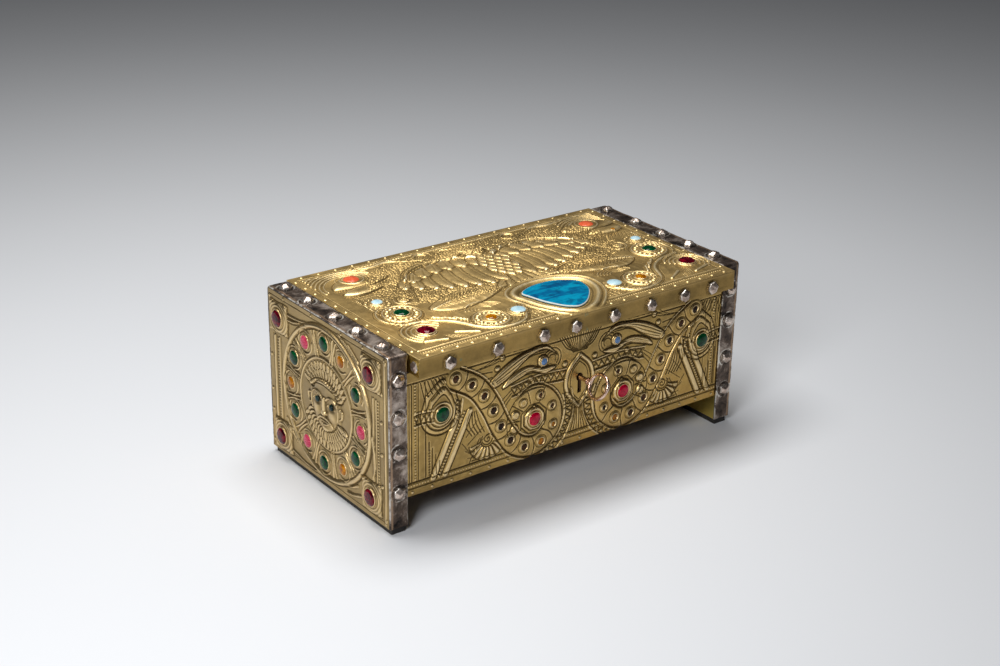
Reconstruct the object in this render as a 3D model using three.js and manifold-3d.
// A casket of wooden boards dressed in embossed brass, with dark nailed straps over both ends,
// a hinged lid, set stones and a key in its lock. Millimetres, +Z up, the front faces -Y.
import * as THREE from 'three'
import { mergeVertices } from 'three/addons/utils/BufferGeometryUtils.js'
import { ConvexGeometry } from 'three/addons/geometries/ConvexGeometry.js'
import Module from 'manifold-3d'

const wasm = await Module()
wasm.setup()

// Driving dimensions of the casket
const length = 300 // over the two end sheets
const depth = 151.8 // between the outer faces of the straps, front to back
const endHeight = 122.1 // the ends with their straps, above the foot strips
const footHeight = 4.8
const footInset = 1.8 // foot strips stand this far inside the ends
const postWidth = 14.1 // an end board with its sheets, as wide as the upright straps
const topStrapWidth = 14.9
const strapThickness = 1.2
const sheet = 0.9 // brass sheet
const gap = 0.3 // between pieces that touch
const bodyRaise = 19.5 // underside of the box above the foot strips
const wallThickness = 9
const floorThickness = 8
const panelRecess = 1.4 // front and back sheets behind the straps
const panelTopGap = 1.2 // dark line between a sheet's upper edge and the lid

// Lid and hinges
const lidThickness = 13.5
const lidOverhang = 11.1 // lip in front of the straps
const lidSideGap = 0.6
const lidRest = 0.4 // between the lid and the walls that it closes
const hingeWidth = 30
const hingeInset = 42 // from an end of the lid to the near edge of a hinge
const leafThickness = 1.5
const leafHeight = 11
const knuckleRadius = 2.5
const pinRadius = 1.1
const pinClearance = 0.35

// Lock and key
const keyholeAcross = 5.9 // right of the middle
const keyholeHeight = 49.1 // above the underside of the box
const keyholeRadius = 3
const keyholeSlotWidth = 3.2
const keyholeSlotDrop = 12
const lockWidth = 44
const lockHeight = 29
const lockDepth = 9
const lockWall = 1.2
const keyShaftRadius = 1.75
const keyTurn = THREE.MathUtils.degToRad(25.7) // clockwise, seen from the front
const keyBowRadius = 8.6
const keyBowWire = 1.3
const keyBowReach = 18.6 // the bow's middle in front of the straps
const keyBitDrop = 9.5
const keyBitDepth = 5
const keyBitThickness = 2.4

// Nails
const nailRadius = 4.9
const nailHeight = 3.6
const nailRim = 1
const nailRidge = 1.5 // half of the short ridge on top

// Stones, by radius and rise above their seats
const garnet = { radius: 6.1, rise: 2.2, facets: 9 }
const coral = { radius: 5.8, rise: 1.9, facets: 8 }
const greenStone = { radius: 5.3, rise: 1.9, facets: 8 }
const roseStone = { radius: 4.9, rise: 1.8, facets: 8 }
const amberStone = { radius: 4.2, rise: 1.6, facets: 8 }
const paleStone = { radius: 3.9, rise: 1.5, facets: 7 }
const lowerPaleStone = { radius: 5.2, rise: 1.6, facets: 8 }
const tinyStone = { radius: 1.9, rise: 1, facets: 6 }
const smallBlueStone = { radius: 2.6, rise: 1.1, facets: 6 }
const eyeStone = { radius: 2.7, rise: 1.1, facets: 6 }
const plaqueRise = 1.6
const plaqueEdge = 1.2
const tableShare = 0.6 // a stone's flat top against its girdle
const seatRise = 0.7 // of the raised seat under a stone
const seatRim = 1.3
const seatClearance = 0.3

// Relief of the embossed sheets
const rootDepth = 0.5 // how far a raised form reaches into its sheet
const lineRise = 0.8
const ridgeRise = 1.3
const figureRise = 2

// Places that follow from the dimensions
const top = footHeight + endHeight
const lidUnder = top - lidThickness
const boxUnder = footHeight + bodyRaise
const postInner = length / 2 - postWidth
const boardInner = postInner + sheet + gap
const boardOuter = length / 2 - sheet - gap
const wallFront = panelRecess + sheet + gap
const wallTop = lidUnder - lidRest
const panelHalf = boardInner - gap
const panelHeight = lidUnder - panelTopGap - boxUnder
const lidHalf = length / 2 - topStrapWidth - lidSideGap
const lidDepth = depth + lidOverhang
const hingeAxisBack = depth + knuckleRadius + gap
const hingeAxisHeight = lidUnder - lidRest / 2

// Sizes at which the ornament of each face is drawn
const drawnLid = { half: 134.5, depth: 162.9 }
const drawnFront = { half: 136.8, height: 87.9 }
const drawnEnd = { width: 151.8, height: 122.1 }

const finishes = {
  brass: { color: 0xa98a4e, roughness: 0.45, metalness: 0.9 },
  darkMetal: { color: 0x4f4a46, roughness: 0.5, metalness: 0.85 },
  wood: { color: 0x4a2f1c, roughness: 0.75, metalness: 0 },
  blackWood: { color: 0x17130f, roughness: 0.7, metalness: 0 },
  steel: { color: 0x8b7a6c, roughness: 0.4, metalness: 0.9 },
  hinge: { color: 0xa5824a, roughness: 0.4, metalness: 0.9 },
  garnet: { color: 0x6d0a18, roughness: 0.12, metalness: 0 },
  coral: { color: 0xe8563c, roughness: 0.25, metalness: 0 },
  green: { color: 0x0e5a34, roughness: 0.12, metalness: 0 },
  rose: { color: 0xc8506b, roughness: 0.15, metalness: 0 },
  ruby: { color: 0xb21440, roughness: 0.12, metalness: 0 },
  amber: { color: 0xb06a12, roughness: 0.2, metalness: 0 },
  pale: { color: 0xa9d3da, roughness: 0.2, metalness: 0 },
  smallBlue: { color: 0x6d8fc4, roughness: 0.2, metalness: 0 },
  darkGreen: { color: 0x1c3a33, roughness: 0.15, metalness: 0 },
  enamel: { color: 0x0a86bf, roughness: 0.15, metalness: 0 }
}

const casket = new THREE.Group()

// Solids
function solid(geometry) {
  const bare = geometry.clone()
  bare.deleteAttribute('normal')
  bare.deleteAttribute('uv')
  const merged = mergeVertices(bare, 1e-4)
  return new wasm.Manifold(new wasm.Mesh({
    numProp: 3,
    vertProperties: new Float32Array(merged.attributes.position.array),
    triVerts: new Uint32Array(merged.index.array)
  }))
}

function joined(geometries) {
  return geometries.map(solid).reduce((whole, next) => whole.add(next))
}

function without(whole, geometries) {
  return geometries.map(solid).reduce((rest, next) => rest.subtract(next), whole)
}

// Raised forms of a face, as far as they lie on the sheet between two corners
function raised(forms, low, high) {
  const reach = 2 * figureRise
  return joined(forms).intersect(solid(block([low.x, low.y, -reach], [high.x, high.y, reach])))
}

function geometryOf(manifold) {
  const mesh = manifold.getMesh()
  const geometry = new THREE.BufferGeometry()
  geometry.setAttribute('position', new THREE.BufferAttribute(new Float32Array(mesh.vertProperties), 3))
  geometry.setIndex(new THREE.BufferAttribute(new Uint32Array(mesh.triVerts), 1))
  geometry.computeVertexNormals()
  return geometry
}

function piece(name, geometry, finish, parent = casket) {
  const mesh = new THREE.Mesh(geometry, new THREE.MeshStandardMaterial(finishes[finish]))
  mesh.name = name
  parent.add(mesh)
  return mesh
}

// A block between two corners
function block(low, high) {
  const size = high.map((value, axis) => value - low[axis])
  const middle = high.map((value, axis) => (value + low[axis]) / 2)
  return new THREE.BoxGeometry(...size).translate(...middle)
}

// A round bar along one axis, 'x', 'y' or 'z'
function bar(axis, radius, from, to, centre, sides = 16) {
  const geometry = new THREE.CylinderGeometry(radius, radius, to - from, sides)
  if (axis === 'x') geometry.rotateZ(Math.PI / 2)
  if (axis === 'z') geometry.rotateX(Math.PI / 2)
  const middle = { ...centre, [axis]: (from + to) / 2 }
  return geometry.translate(middle.x, middle.y, middle.z)
}

// Raised forms of a face: across is x, up is y, and they stand out along z from the sheet's face at 0
function slab(shape, rise, root = rootDepth) {
  return new THREE.ExtrudeGeometry(shape, { depth: rise + root, bevelEnabled: false }).translate(0, 0, -root)
}

function boss(centre, baseRadius, topRadius, rise, sides, root = rootDepth) {
  const geometry = new THREE.CylinderGeometry(topRadius, baseRadius, rise + root, sides)
  return geometry.rotateX(Math.PI / 2).translate(centre.x, centre.y, (rise - root) / 2)
}

function circle(centre, radius, sides, stretch = 1) {
  return Array.from({ length: sides }, (_, step) => {
    const angle = step / sides * 2 * Math.PI
    return new THREE.Vector2(centre.x + radius * Math.cos(angle), centre.y + radius * stretch * Math.sin(angle))
  })
}

function arc(centre, radius, fromDegrees, toDegrees, steps, stretch = 1) {
  return Array.from({ length: steps + 1 }, (_, step) => {
    const angle = THREE.MathUtils.degToRad(fromDegrees + (toDegrees - fromDegrees) * step / steps)
    return new THREE.Vector2(centre.x + radius * Math.cos(angle), centre.y + radius * stretch * Math.sin(angle))
  })
}

// Evenly spaced points of a smooth curve through a few chosen ones
function smooth(points, steps, closed = false) {
  const curve = new THREE.CatmullRomCurve3(points.map(p => new THREE.Vector3(p.x, p.y, 0)), closed)
  const spaced = curve.getSpacedPoints(steps).map(p => new THREE.Vector2(p.x, p.y))
  return closed ? spaced.slice(0, steps) : spaced
}

function shifted(points, distance, closed = false) {
  const last = points.length - 1
  return points.map((point, index) => {
    const before = points[index === 0 ? (closed ? last : 0) : index - 1]
    const after = points[index === last ? (closed ? 0 : last) : index + 1]
    const along = after.clone().sub(before).normalize()
    return new THREE.Vector2(point.x + along.y * distance, point.y - along.x * distance)
  })
}

// A raised line along points, which may run out thin at its far end
function line(points, width, rise, farWidth = width) {
  const last = points.length - 1
  const half = index => (width + (farWidth - width) * index / last) / 2
  const right = points.map((point, index) => shifted(points, half(index))[index])
  const left = points.map((point, index) => shifted(points, -half(index))[index])
  return slab(new THREE.Shape([...right, ...left.reverse()]), rise)
}

function closedLine(points, width, rise) {
  const round = THREE.ShapeUtils.isClockWise(points) ? [...points].reverse() : points
  const shape = new THREE.Shape(shifted(round, width / 2, true))
  shape.holes.push(new THREE.Path(shifted(round, -width / 2, true)))
  return slab(shape, rise)
}

// The raised seat under a stone, a little wider than the stone
function seatBoss(centre, kind, under = 0) {
  return boss(centre, kind.radius + seatRim + under, kind.radius + seatRim / 2, under + seatRise, kind.facets)
}

// A cut stone, flat below, on a seat at the given height over the face
function stone(kind, seat = 0) {
  const geometry = new THREE.CylinderGeometry(kind.radius * tableShare, kind.radius, kind.rise, kind.facets)
  return geometry.rotateX(Math.PI / 2).translate(0, 0, seat + seatRise + seatClearance + kind.rise / 2)
}

// A forged nail head, six-sided below with its slopes up to a short ridge
function nail(centre, turn) {
  const points = []
  for (let corner = 0; corner < 6; corner++) {
    const angle = corner * Math.PI / 3
    const x = nailRadius * Math.cos(angle)
    const y = nailRadius * Math.sin(angle)
    points.push(new THREE.Vector3(x, y, -rootDepth), new THREE.Vector3(x * 0.97, y * 0.97, nailRim))
  }
  points.push(new THREE.Vector3(-nailRidge, 0, nailHeight), new THREE.Vector3(nailRidge, 0, nailHeight))
  return new ConvexGeometry(points).rotateZ(turn).translate(centre.x, centre.y, 0)
}

const at = (x, y) => new THREE.Vector2(x, y)

// A side of the casket: its face's x runs to the right, y up and z outwards
function side(angle, out, height) {
  const turned = new THREE.Group()
  turned.rotation.z = angle
  const upright = new THREE.Group()
  upright.rotation.x = Math.PI / 2
  upright.position.set(0, -out, height)
  turned.add(upright)
  casket.add(turned)
  return upright
}

// Ends: board, foot strip and strap
function endBoard(name, hand) {
  const across = [hand * boardInner, hand * boardOuter].sort((a, b) => a - b)
  const edge = strapThickness + gap
  const under = footHeight + sheet + gap
  piece(name, block([across[0], edge, under], [across[1], depth - edge, top - edge]), 'wood')
}

function footStrip(name, hand) {
  const across = [hand * (postInner + footInset), hand * (length / 2 - footInset)].sort((a, b) => a - b)
  piece(name, block([across[0], footInset, 0], [across[1], depth - footInset, footHeight - gap]), 'blackWood')
}

// Places of the nails along a strap, as shares of its height or depth
const strapNails = {
  left: { upright: [0.862, 0.646, 0.44, 0.209], over: [0.111, 0.309, 0.503, 0.723, 0.914] },
  right: { upright: [0.845, 0.645, 0.405, 0.196], over: [0.13, 0.303, 0.501, 0.698, 0.918] }
}

function strap(name, hand, nails) {
  const outer = hand * length / 2
  const post = [outer, hand * postInner].sort((a, b) => a - b)
  const over = [outer, outer - hand * topStrapWidth].sort((a, b) => a - b)
  const middle = hand * (length / 2 - postWidth / 2)
  const solids = [
    block([post[0], 0, footHeight], [post[1], strapThickness, top]),
    block([post[0], depth - strapThickness, footHeight], [post[1], depth, top]),
    block([over[0], 0, top - strapThickness], [over[1], depth, top])
  ]
  nails.upright.forEach((share, index) => {
    const height = footHeight + share * endHeight
    solids.push(nail(at(0, 0), index + 0.4).rotateX(Math.PI / 2).translate(middle, 0, height))
    solids.push(nail(at(0, 0), index + 1.1).rotateX(-Math.PI / 2).translate(middle, depth, height))
  })
  nails.over.forEach((share, index) => {
    solids.push(nail(at(middle, share * depth), index * 1.3 + 0.2).translate(0, 0, top))
  })
  piece(name, geometryOf(joined(solids)), 'darkMetal')
}

// The ornament of an end, drawn on a face 151.8 wide and 122.1 high from its lower left corner
const endAt = (x, y) => at((x / drawnEnd.width - 0.5) * depth, y / drawnEnd.height * endHeight)
const roundelRadius = 54.5
const innerRoundelRadius = 33
const cornerBossWidth = 23
const cornerBossRise = 1.2
const endCorners = [[17, 14], [16, 103], [131.5, 104], [131, 16]]
const ringStones = [
  ['green', greenStone, 90], ['amber', amberStone, 62], ['green', greenStone, 30], ['rose', roseStone, -3],
  ['green', greenStone, -33], ['amber', amberStone, -62], ['green', greenStone, -94], ['rose', roseStone, -124],
  ['green', greenStone, -154], ['amber', amberStone, 180], ['green', greenStone, 153], ['rose', roseStone, 124]
]
const ringStoneRadius = 44.5
const roundelMiddle = endAt(75.6, 60.6)
const ringPlace = degrees => arc(roundelMiddle, ringStoneRadius, degrees, degrees, 1)[0]
const maskWidth = 21
const maskHeight = 1.28 // its height against its width
const maskRays = 14
const endLines = { across: [8, 14, 134, 140], low: 29, high: 86 }

function mask() {
  const face = roundelMiddle
  const from = (x, y) => at(face.x + x * maskWidth, face.y + y * maskWidth)
  const eyes = [-1, 1].map(hand => from(hand * 0.42, 0.08))
  const forms = [slab(new THREE.Shape(circle(face, maskWidth, 16, maskHeight)), ridgeRise)]
  forms.push(line([from(0, 0.16), from(0, -0.3)], 3.2, figureRise + 1, 6.4))
  eyes.forEach((eye, index) => {
    const hand = index === 0 ? -1 : 1
    forms.push(seatBoss(eye, eyeStone, ridgeRise))
    forms.push(line(arc(eye, maskWidth * 0.3, 90 + hand * 62, 90 - hand * 48, 4, 0.8), 1.6, figureRise + 0.6))
  })
  forms.push(line([from(-0.26, -0.56), from(0, -0.52), from(0.26, -0.56)], 1.5, figureRise))
  forms.push(line([from(-0.2, -0.66), from(0, -0.69), from(0.2, -0.66)], 1.6, figureRise))
  for (let ray = 0; ray < maskRays; ray++) {
    const degrees = (ray + 0.5) * 360 / maskRays
    const near = arc(face, maskWidth + 1.5, degrees, degrees, 1, maskHeight)[0]
    const far = arc(face, innerRoundelRadius - 1.5, degrees, degrees, 1)[0]
    forms.push(line([near, far], 2.4, ridgeRise, 1.2))
  }
  return { forms, eyes }
}

function endSheet(name, hand, fused) {
  const face = side(hand * Math.PI / 2, length / 2, footHeight)
  face.parent.position.y = depth / 2
  const half = depth / 2
  // The strap closes on the sheet's edges, so the sheet stops short of it
  const inset = strapThickness + gap
  const flat = { low: -half + inset, high: half - inset }
  const solids = [
    block([flat.low, 0, -sheet], [flat.high, endHeight - inset, 0]),
    block([flat.low, 0, -postWidth], [flat.high, sheet, 0]),
    block([flat.low, 0, -postWidth], [flat.high, bodyRaise - gap, -postWidth + sheet])
  ]
  const { forms, eyes } = mask()
  forms.push(closedLine(circle(roundelMiddle, roundelRadius, 26), 3, figureRise))
  forms.push(closedLine(circle(roundelMiddle, innerRoundelRadius, 18), 2, ridgeRise))
  ringStones.forEach(([, kind, degrees], index) => {
    if (!fused) forms.push(seatBoss(ringPlace(degrees), kind))
    const next = ringStones[(index + 1) % ringStones.length][2]
    const between = (degrees + (next > degrees ? next - 360 : next)) / 2
    const near = arc(roundelMiddle, innerRoundelRadius + 1, between, between, 1)[0]
    const far = arc(roundelMiddle, roundelRadius - 1.5, between, between, 1)[0]
    forms.push(line([near, far], 2.6, lineRise))
  })
  endCorners.forEach(([x, y]) => {
    const centre = endAt(x, y)
    const low = at(centre.x - cornerBossWidth / 2, centre.y - cornerBossWidth / 2)
    const high = at(centre.x + cornerBossWidth / 2, centre.y + cornerBossWidth / 2)
    low.clampScalar(-half + inset + 0.5, endHeight)
    low.y = Math.max(low.y, 1)
    high.x = Math.min(high.x, half - inset - 0.5)
    const shape = new THREE.Shape([low, at(high.x, low.y), high, at(low.x, high.y)])
    forms.push(slab(shape, cornerBossRise))
    forms.push(seatBoss(centre, garnet, cornerBossRise))
  })
  for (const x of endLines.across) {
    forms.push(line([endAt(x, endLines.low), endAt(x, endLines.high)], 1.8, lineRise))
  }
  const stones = []
  ringStones.forEach(([colour, kind, degrees], index) => {
    stones.push([`${name}_${colour}_stone_${index + 1}`, kind, ringPlace(degrees), 0, colour])
  })
  endCorners.forEach(([x, y], index) => {
    stones.push([`${name}_garnet_${index + 1}`, garnet, endAt(x, y), cornerBossRise, 'garnet'])
  })
  eyes.forEach((eye, index) => {
    stones.push([`${name}_mask_eye_${index + 1}`, eyeStone, eye, ridgeRise, 'darkGreen'])
  })
  if (fused) {
    // On this end the stones and their sheet are one solid
    stones.forEach(([, kind, place, seat]) => {
      const rise = seat + seatRise + seatClearance + kind.rise
      forms.push(boss(place, kind.radius + seatRim, kind.radius * tableShare, rise, kind.facets))
    })
  } else {
    stones.forEach(([label, kind, place, seat, colour]) => {
      piece(label, stone(kind, seat), colour, face).position.set(place.x, place.y, 0)
    })
  }
  const ornament = raised(forms, at(flat.low, 0), at(flat.high, endHeight - inset))
  piece(name, geometryOf(joined(solids).add(ornament)), 'brass', face)
}

// The ornament of the front, drawn from the middle of its lower edge
const frontAt = (x, y) => at(x / drawnFront.half * panelHalf, y / drawnFront.height * panelHeight)
const frontMiddle = keyholeAcross
const bandCurve = [[104, 75], [87, 64], [75.5, 48], [66, 29], [54, 13], [38, 8], [24.5, 16], [22, 29], [28, 40],
  [38, 46], [48, 42]]
const bandWidth = 15
const beadCount = 11
const beadRadius = 2.3
const rubyPlace = [39, 28.5]
const teardropPlaces = { left: [115.5, 53.5], right: [111, 50] }
const mandorla = { half: 12, height: 38 }

function teardrop(centre, radius, hand) {
  const tip = at(centre.x - hand * radius * 0.15, centre.y + radius * 1.55)
  return new THREE.Shape([tip, ...arc(centre, radius, 150, 390, 9)])
}

function frontSheet() {
  const face = side(0, -panelRecess, boxUnder)
  const sheetBody = solid(block([-panelHalf, 0, -sheet], [panelHalf, panelHeight, 0]))
  const forms = [line([at(-panelHalf + 1, 6), at(panelHalf - 1, 6)], 1.6, lineRise)]
  const hole = at(keyholeAcross, keyholeHeight)
  const stones = []
  for (const hand of [-1, 1]) {
    const place = ([x, y]) => frontAt(frontMiddle + hand * x, y)
    const band = smooth(bandCurve.map(place), 16)
    for (const edge of [-1, 1]) {
      forms.push(line(shifted(band, edge * bandWidth / 2), 1.3, ridgeRise))
    }
    const beads = smooth(bandCurve.map(place), beadCount)
    beads.slice(0, beadCount).forEach(bead => {
      forms.push(boss(bead, beadRadius + 1.7, beadRadius, figureRise, 6))
    })
    const ruby = place(rubyPlace)
    forms.push(closedLine(circle(ruby, 9, 8), 1.6, ridgeRise), seatBoss(ruby, roseStone))
    stones.push([`front_ruby_${hand < 0 ? 'left' : 'right'}`, roseStone, ruby, 0, 'ruby'])
    const green = place(hand < 0 ? teardropPlaces.left : teardropPlaces.right)
    forms.push(slab(teardrop(green, 12.5, hand), ridgeRise))
    forms.push(seatBoss(green, greenStone, ridgeRise))
    stones.push([`front_green_stone_${hand < 0 ? 'left' : 'right'}`, greenStone, green, ridgeRise, 'green'])
    const blue = place([32, 69])
    forms.push(seatBoss(blue, smallBlueStone))
    stones.push([`front_blue_stone_${hand < 0 ? 'left' : 'right'}`, smallBlueStone, blue, 0, 'smallBlue'])
    for (const shift of [0, 9]) {
      forms.push(line([place([92 + shift, 49]), place([112 + shift, 8])], 4.5, lineRise))
    }
    forms.push(line([place([115, 84]), place([116, 66])], 1.6, lineRise))
    const upperLeaf = [[22, 76], [34, 78], [50, 72], [70, 61]].map(place)
    forms.push(line(smooth(upperLeaf, 6), 2.4, ridgeRise, 1))
    const lowerLeaf = [[20, 62], [34, 61], [48, 63], [63, 59]].map(place)
    forms.push(line(smooth(lowerLeaf, 5), 2, lineRise, 1))
    const spiral = place([77, 24])
    forms.push(closedLine(circle(spiral, 3.2, 8), 1.2, lineRise))
    for (const degrees of [225, 255, 285, 315]) {
      const ray = [6, 15].map(reach => arc(spiral, reach, degrees, degrees, 1)[0])
      forms.push(line(ray, 1.5, lineRise))
    }
    for (const spread of [2.5, 7, 11.5]) {
      forms.push(line([place([spread, 82]), place([spread * 0.35 + 1, 69])], 2.2, lineRise, 1))
      forms.push(line([place([spread * 0.35 + 1, 30]), place([spread, 9])], 1.4, lineRise, 2.4))
    }
  }
  const pointed = [[0, 1], [0.72, 0.62], [1, 0], [0.66, -0.55], [0, -1]]
  const mirrored = pointed.slice(1, 4).reverse().map(([x, y]) => [-x, y])
  const almond = [...pointed, ...mirrored].map(([x, y]) => {
    return at(hole.x + x * mandorla.half, hole.y - 3 + y * mandorla.height / 2)
  })
  forms.push(closedLine(almond, 2, ridgeRise))
  const hook = keyholeCut(hole, rootDepth + sheet + figureRise)
  const ornament = raised(forms, at(-panelHalf, 0), at(panelHalf, panelHeight))
  piece('front_sheet', geometryOf(without(sheetBody.add(ornament), hook)), 'brass', face)
  stones.forEach(([label, kind, where, seat, colour]) => {
    piece(label, stone(kind, seat), colour, face).position.set(where.x, where.y, 0)
  })
}

// The round and the slot of the keyhole, cut through whatever lies within the reach either way
function keyholeCut(hole, reach) {
  const round = new THREE.CylinderGeometry(keyholeRadius, keyholeRadius, 2 * reach, 16)
  const slot = keyholeSlotWidth / 2
  return [
    round.rotateX(Math.PI / 2).translate(hole.x, hole.y, 0),
    block([hole.x - slot, hole.y - keyholeSlotDrop, -reach], [hole.x + slot, hole.y, reach])
  ]
}

function backSheet() {
  const face = side(Math.PI, depth - panelRecess, boxUnder)
  const solids = [block([-panelHalf, 0, -sheet], [panelHalf, panelHeight, 0])]
  const inset = 7
  const reach = panelHalf - inset
  const upper = panelHeight - inset - leafHeight
  const frame = [at(-reach, inset), at(reach, inset), at(reach, upper), at(-reach, upper)]
  solids.push(closedLine(frame, 1.8, lineRise))
  for (const share of [-0.5, 0, 0.5]) {
    const centre = at(share * panelHalf, (inset + upper) / 2)
    solids.push(closedLine(circle(centre, 24, 14), 2.4, ridgeRise))
    solids.push(boss(centre, 6, 3, ridgeRise, 10))
  }
  piece('back_sheet', geometryOf(joined(solids)), 'brass', face)
}

// Boards of the box
function boxBoards() {
  const hole = keyholeCut(at(keyholeAcross, keyholeHeight), wallThickness * 2)
  const cuts = hole.map(cut => cut.rotateX(Math.PI / 2).translate(0, wallFront + wallThickness / 2, boxUnder))
  const front = block([-panelHalf, wallFront, boxUnder], [panelHalf, wallFront + wallThickness, wallTop])
  piece('front_board', geometryOf(without(solid(front), cuts)), 'wood')
  const back = depth - wallFront
  piece('back_board', block([-panelHalf, back - wallThickness, boxUnder], [panelHalf, back, wallTop]), 'wood')
  const inner = wallFront + wallThickness + gap
  const floor = boxUnder + floorThickness
  piece('bottom_board', block([-panelHalf, inner, boxUnder], [panelHalf, depth - inner, floor]), 'wood')
}

// The ornament of the lid, drawn from the middle of its front edge
const lidAt = (x, y) => at(x / drawnLid.half * lidHalf, y / drawnLid.depth * lidDepth)
const lidStones = [
  ['coral', coral, -99.5, 135.5, 'coral'], ['coral', coral, 107, 132.5, 'coral'],
  ['pale_stone', paleStone, -107, 91, 'pale'], ['pale_stone', paleStone, 118, 88, 'pale'],
  ['green_stone', greenStone, -103.5, 66.5, 'green'], ['green_stone', greenStone, 112, 66, 'green'],
  ['garnet', garnet, -107, 33, 'garnet'], ['garnet', garnet, 118, 32, 'garnet'],
  ['amber_stone', amberStone, -59, 27, 'amber'], ['amber_stone', amberStone, 70, 26.5, 'amber'],
  ['lower_pale_stone', lowerPaleStone, -36.5, 27.5, 'pale'], ['lower_pale_stone', lowerPaleStone, 47.5, 28.5, 'pale'],
  ['tiny_amber', tinyStone, 117, 113, 'amber']
]
const plaquePoints = [[-17.5, 49], [-9, 54.5], [4, 57], [17, 55], [28.5, 47], [29, 37.5], [25.5, 28.5], [17, 18.5],
  [9, 12], [1.5, 9.5], [-3.5, 12], [-8, 17], [-13.5, 28.5], [-16.5, 41]]
const plaqueSteps = 20
const plaqueCollarWidth = 1.4
const lidBorder = { side: 126, front: 8.5, back: 156 }
const birdPlace = [4, 104]

// A displayed bird: body, head, fanned tail and two spread wings of long feathers
function bird() {
  const from = (x, y) => lidAt(birdPlace[0] + x, birdPlace[1] + y)
  const body = arc(from(0, 0), 10, -90, 90, 6, 2).concat(arc(from(0, 0), 10, 90, 270, 6, 2).slice(1, 6))
  const forms = [slab(new THREE.Shape(body), figureRise)]
  forms.push(slab(new THREE.Shape(circle(from(0, 26), 6.5, 12)), figureRise + 0.5))
  forms.push(line([from(5, 27), from(14, 24)], 3.4, figureRise, 1))
  for (const spread of [-24, -12, 0, 12, 24]) {
    const root = from(spread * 0.2, -17)
    forms.push(line([root, from(spread * 0.7, -29), from(spread, -36)], 3, ridgeRise, 5))
  }
  for (const hand of [-1, 1]) {
    const shoulder = [[7, 10], [24, 22], [46, 26], [66, 16]].map(([x, y]) => from(hand * x, y))
    forms.push(line(smooth(shoulder, 6), 6, figureRise, 3.5))
    for (let feather = 0; feather < 6; feather++) {
      const root = [14 + feather * 9, 14 + feather * 1.2 - Math.max(0, feather - 4) * 2]
      const tip = [16 + feather * 12.5, -16 + feather * 4.4]
      const bend = [root[0] + 2 + feather, (root[1] + tip[1]) / 2]
      const points = [root, bend, tip].map(([x, y]) => from(hand * x, y))
      forms.push(line(smooth(points, 3), 4.6, ridgeRise, 2))
    }
  }
  return forms
}

function lidCover(body) {
  const low = [-lidHalf, -lidOverhang, lidUnder]
  const high = [lidHalf, depth, top]
  const hollow = block(
    [low[0] + sheet, low[1] + sheet, low[2] - 1],
    [high[0] - sheet, high[1] - sheet, high[2] - sheet]
  )
  const forms = bird()
  const { side, front, back } = lidBorder
  const border = [lidAt(-side, front), lidAt(side, front), lidAt(side, back), lidAt(-side, back)]
  forms.push(closedLine(border, 1.6, lineRise))
  const plaque = smooth(plaquePoints.map(([x, y]) => lidAt(x, y)), plaqueSteps, true)
  const outward = THREE.ShapeUtils.isClockWise(plaque) ? -1 : 1
  const collarLine = shifted(plaque, outward * (seatClearance + plaqueCollarWidth / 2), true)
  forms.push(closedLine(collarLine, plaqueCollarWidth, ridgeRise))
  forms.push(closedLine(shifted(plaque, outward * 6, true), 2.4, figureRise))
  for (const [, kind, x, y] of lidStones) {
    forms.push(seatBoss(lidAt(x, y), kind))
  }
  for (const hand of [-1, 1]) {
    const eye = hand < 0 ? lidAt(-99.5, 133) : lidAt(107, 130)
    for (const radius of [13, 19]) {
      forms.push(line(arc(eye, radius, 90 + hand * 60, 90 - hand * 122, 7, 0.95), 1.8, ridgeRise, 1))
    }
    const scroll = [[-84, 150], [-70, 153], [-54, 146], [-42, 143], [-36, 149], [-43, 153]]
    const points = scroll.map(([x, y]) => lidAt(5 - hand * (x - 5), y))
    forms.push(line(smooth(points, 10), 2.2, ridgeRise, 1.4))
    const green = hand < 0 ? lidAt(-103.5, 66.5) : lidAt(112, 66)
    forms.push(closedLine(circle(green, 12.5, 12), 1.8, ridgeRise))
    const amber = hand < 0 ? lidAt(-59, 27) : lidAt(70, 26.5)
    forms.push(closedLine(circle(amber, 10.5, 12), 1.8, ridgeRise))
    const sweep = [[-118, 50], [-96, 44], [-80, 30], [-76, 16]].map(([x, y]) => lidAt(5 + hand * -(x - 5), y))
    forms.push(line(smooth(sweep, 6), 3, ridgeRise, 1.4))
  }
  const cover = without(solid(block(low, high)), [hollow])
  const ornament = raised(forms, at(-lidHalf, 0), at(lidHalf, lidDepth)).translate(0, -lidOverhang, top)
  piece('lid_cover', geometryOf(cover.add(ornament).add(joined(lipNails()))), 'brass', body)
}

// Nails along the lip and one on each end of it
const lipNailShares = [-0.826, -0.547, -0.267, -0.068, 0.18, 0.422, 0.648, 0.845]
const lipNailDrop = 8.2 // below the lid's top
const lipEndNailBack = 4.8 // behind the lip's face
const lipEndNailSize = 0.86

function lipNails() {
  const height = top - lipNailDrop
  const front = lipNailShares.map((share, index) => {
    return nail(at(0, 0), index * 0.7).rotateX(Math.PI / 2).translate(share * lidHalf, -lidOverhang, height)
  })
  const ends = [-1, 1].map(hand => {
    const head = nail(at(0, 0), 0.3).scale(lipEndNailSize, lipEndNailSize, 0.6)
    return head.rotateY(hand * Math.PI / 2).translate(hand * lidHalf, -lidOverhang + lipEndNailBack, height + 1)
  })
  return [...front, ...ends]
}

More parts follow.
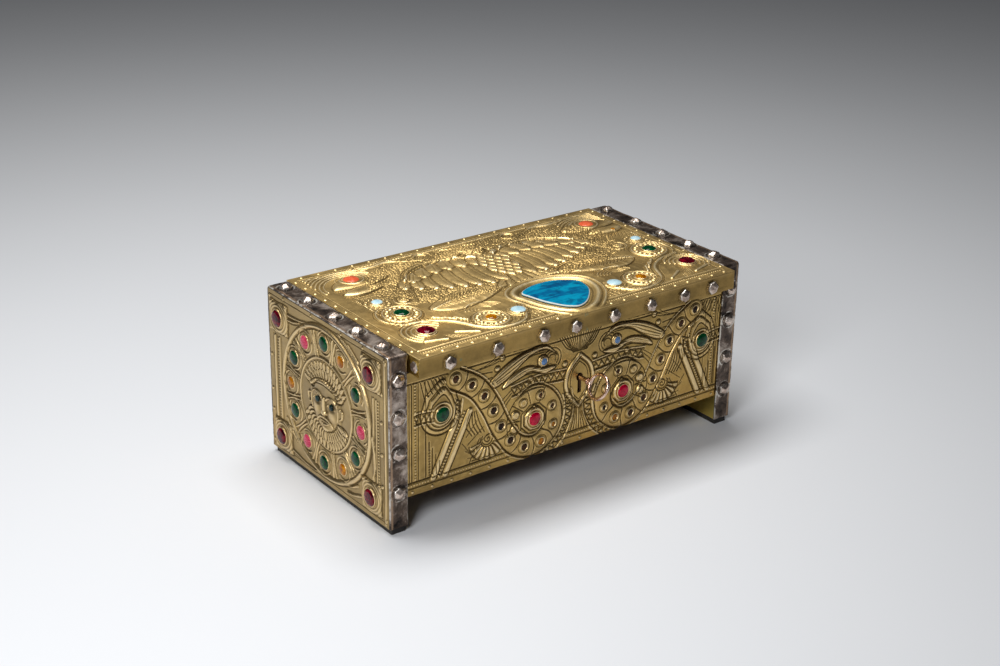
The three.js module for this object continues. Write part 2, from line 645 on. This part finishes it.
function lid() {
  lidCover(casket)
  const inner = sheet + gap
  const low = [-lidHalf + inner, -lidOverhang + inner, lidUnder]
  piece('lid_board', block(low, [lidHalf - inner, depth - inner, top - inner]), 'wood')
  const face = new THREE.Group()
  face.position.set(0, -lidOverhang, top)
  casket.add(face)
  lidStones.forEach(([label, kind, x, y, colour], index) => {
    const place = lidAt(x, y)
    const hand = label === 'tiny_amber' ? '' : index % 2 === 0 ? '_left' : '_right'
    piece(`lid_${label}${hand}`, stone(kind), colour, face).position.set(place.x, place.y, 0)
  })
  const outline = new THREE.Shape(smooth(plaquePoints.map(([x, y]) => lidAt(x, y)), plaqueSteps, true))
  const bevel = { bevelEnabled: true, bevelSegments: 1, bevelSize: plaqueEdge, bevelOffset: -plaqueEdge }
  const thickness = { depth: plaqueRise / 2, bevelThickness: plaqueRise / 4 }
  const plaque = new THREE.ExtrudeGeometry(outline, { ...thickness, ...bevel })
  piece('lid_blue_plaque', plaque.translate(0, 0, plaqueRise / 4 + seatClearance), 'enamel', face)
}

// A butt hinge: the box leaf carries the pin and the outer knuckles, the lid leaf the middle one
function hinge(name, from) {
  const to = from + hingeWidth
  const third = hingeWidth / 3
  const centre = { x: 0, y: hingeAxisBack, z: hingeAxisHeight }
  const wall = depth - panelRecess + gap
  const web = hingeAxisHeight - knuckleRadius
  const boxLeaf = joined([
    block([from, wall, web - leafHeight], [to, wall + leafThickness, web + leafThickness]),
    block([from, wall, web], [to, hingeAxisBack, web + leafThickness]),
    bar('x', knuckleRadius, from, to, centre, 12)
  ])
  const middleCut = block(
    [from + third - gap, depth + gap / 2, web - 1],
    [to - third + gap, hingeAxisBack + knuckleRadius + 1, hingeAxisHeight + knuckleRadius + 1]
  )
  const withPin = without(boxLeaf, [middleCut]).add(solid(bar('x', pinRadius, from + 1, to - 1, centre, 10)))
  piece(`${name}_box_leaf`, geometryOf(withPin), 'hinge')
  const face = depth + gap
  const lidLeaf = joined([
    block([from, face, lidUnder + knuckleRadius + gap], [to, face + leafThickness, top - lineRise]),
    block([from + third, face, hingeAxisHeight], [to - third, face + leafThickness, top - lineRise]),
    bar('x', knuckleRadius, from + third, to - third, centre, 12)
  ])
  const bore = bar('x', pinRadius + pinClearance, from + third - 1, to - third + 1, centre, 10)
  piece(`${name}_lid_leaf`, geometryOf(without(lidLeaf, [bore])), 'hinge')
}

function lockCase() {
  const front = wallFront + wallThickness + gap
  const middle = { x: keyholeAcross, z: boxUnder + keyholeHeight }
  const low = [middle.x - lockWidth / 2, front, middle.z - lockHeight / 2]
  const high = [middle.x + lockWidth / 2, front + lockDepth, middle.z + lockHeight / 2]
  const hollow = block(
    [low[0] + lockWall, low[1] - 1, low[2] + lockWall],
    [high[0] - lockWall, high[1] - lockWall, high[2] - lockWall]
  )
  piece('lock_case', geometryOf(without(solid(block(low, high)), [hollow])), 'steel')
}

function key() {
  const holder = new THREE.Group()
  holder.position.set(keyholeAcross, 0, boxUnder + keyholeHeight)
  holder.rotation.y = keyTurn
  casket.add(holder)
  const bitFront = wallFront + wallThickness + gap + 1
  const shaftEnd = bitFront + keyBitDepth + 0.8
  const centre = { x: 0, y: 0, z: 0 }
  const bow = new THREE.TorusGeometry(keyBowRadius, keyBowWire, 6, 20).rotateY(Math.PI / 2)
  const neck = -keyBowReach + keyBowRadius
  const solids = [
    bow.translate(0, -keyBowReach, 0),
    bar('y', keyShaftRadius, neck - keyBowWire / 2, shaftEnd, centre, 12),
    bar('y', keyShaftRadius + 0.9, neck + 1.4, neck + 3.4, centre, 12),
    block([-keyBitThickness / 2, bitFront, -keyBitDrop], [keyBitThickness / 2, bitFront + keyBitDepth, 0])
  ]
  const notch = block(
    [-keyBitThickness, bitFront + 1.8, -keyBitDrop - 1],
    [keyBitThickness, bitFront + 3, -keyBitDrop + 3]
  )
  piece('key', geometryOf(without(joined(solids), [notch])), 'steel', holder)
}

for (const [word, hand] of [['left', -1], ['right', 1]]) {
  endBoard(`end_board_${word}`, hand)
  footStrip(`foot_strip_${word}`, hand)
  strap(`strap_${word}`, hand, strapNails[word])
  endSheet(`end_sheet_${word}`, hand, word === 'right')
}
boxBoards()
frontSheet()
backSheet()
lid()
hinge('hinge_left', -lidHalf + hingeInset)
hinge('hinge_right', lidHalf - hingeInset - hingeWidth)
lockCase()
key()

// The part's origin is the middle of its underside
const bounds = new THREE.Box3().setFromObject(casket)
const origin = bounds.getCenter(new THREE.Vector3())
casket.position.set(-origin.x, -origin.y, -bounds.min.z)
const part = new THREE.Group()
part.add(casket)

export default part
